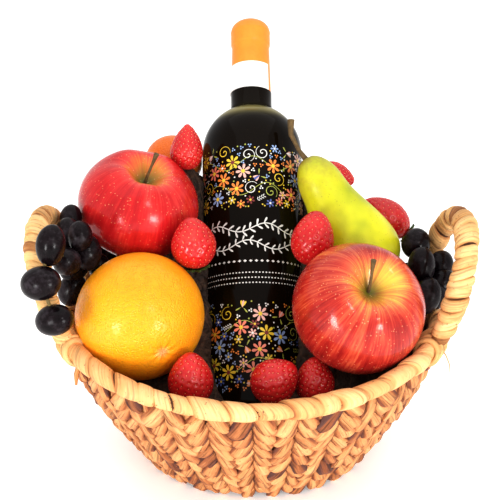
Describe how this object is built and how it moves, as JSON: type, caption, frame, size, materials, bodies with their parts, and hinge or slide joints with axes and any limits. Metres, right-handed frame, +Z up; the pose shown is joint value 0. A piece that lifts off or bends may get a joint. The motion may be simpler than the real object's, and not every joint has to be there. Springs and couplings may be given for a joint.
{
  "type": "fruit and wine gift basket",
  "caption": "Oval woven basket with two side handles, packed with a leaning wine bottle, apples, citrus, a pear, strawberries and dark grapes on crumpled paper.",
  "frame": {"origin": "centre of the basket's flat foot, on the ground", "axes": "+Z up; the bottle leans back towards +Y, the front of the basket looks along -Y, and the handles stand at -X and +X"},
  "size_m": [0.2884, 0.2743, 0.2804],
  "materials": {
    "straw": "dry woven water hyacinth, matt, golden tan with darker leaves",
    "straw_pale": "dry plaited strands, paler, matt",
    "paper": "crumpled brown packing paper",
    "glass_dark": "very dark olive glass, glossy",
    "capsule_orange": "satin orange bottle capsule",
    "band_white": "white paper band and printed artwork",
    "orange_peel": null,
    "mandarin_peel": null,
    "apple_skin": null,
    "pear_skin": null,
    "berry": null,
    "grape": null
  },
  "bodies": {
    "root": {"basket_body": "straw", "basket_rim": "straw_pale", "handle_left": "straw_pale", "handle_right": "straw_pale", "packing": "paper", "bottle": "glass_dark", "capsule": "capsule_orange", "neck_band": "band_white", "orange": "orange_peel", "mandarin": "mandarin_peel", "apple_left": "apple_skin", "apple_right": "apple_skin", "pear": "pear_skin", "strawberry_1": "berry", "strawberry_2": "berry", "strawberry_3": "berry", "strawberry_4": "berry", "strawberry_5": "berry", "strawberry_6": "berry", "strawberry_7": "berry", "strawberry_8": "berry", "grapes_left": "grape", "grapes_right": "grape"}
  },
  "joints": []
}
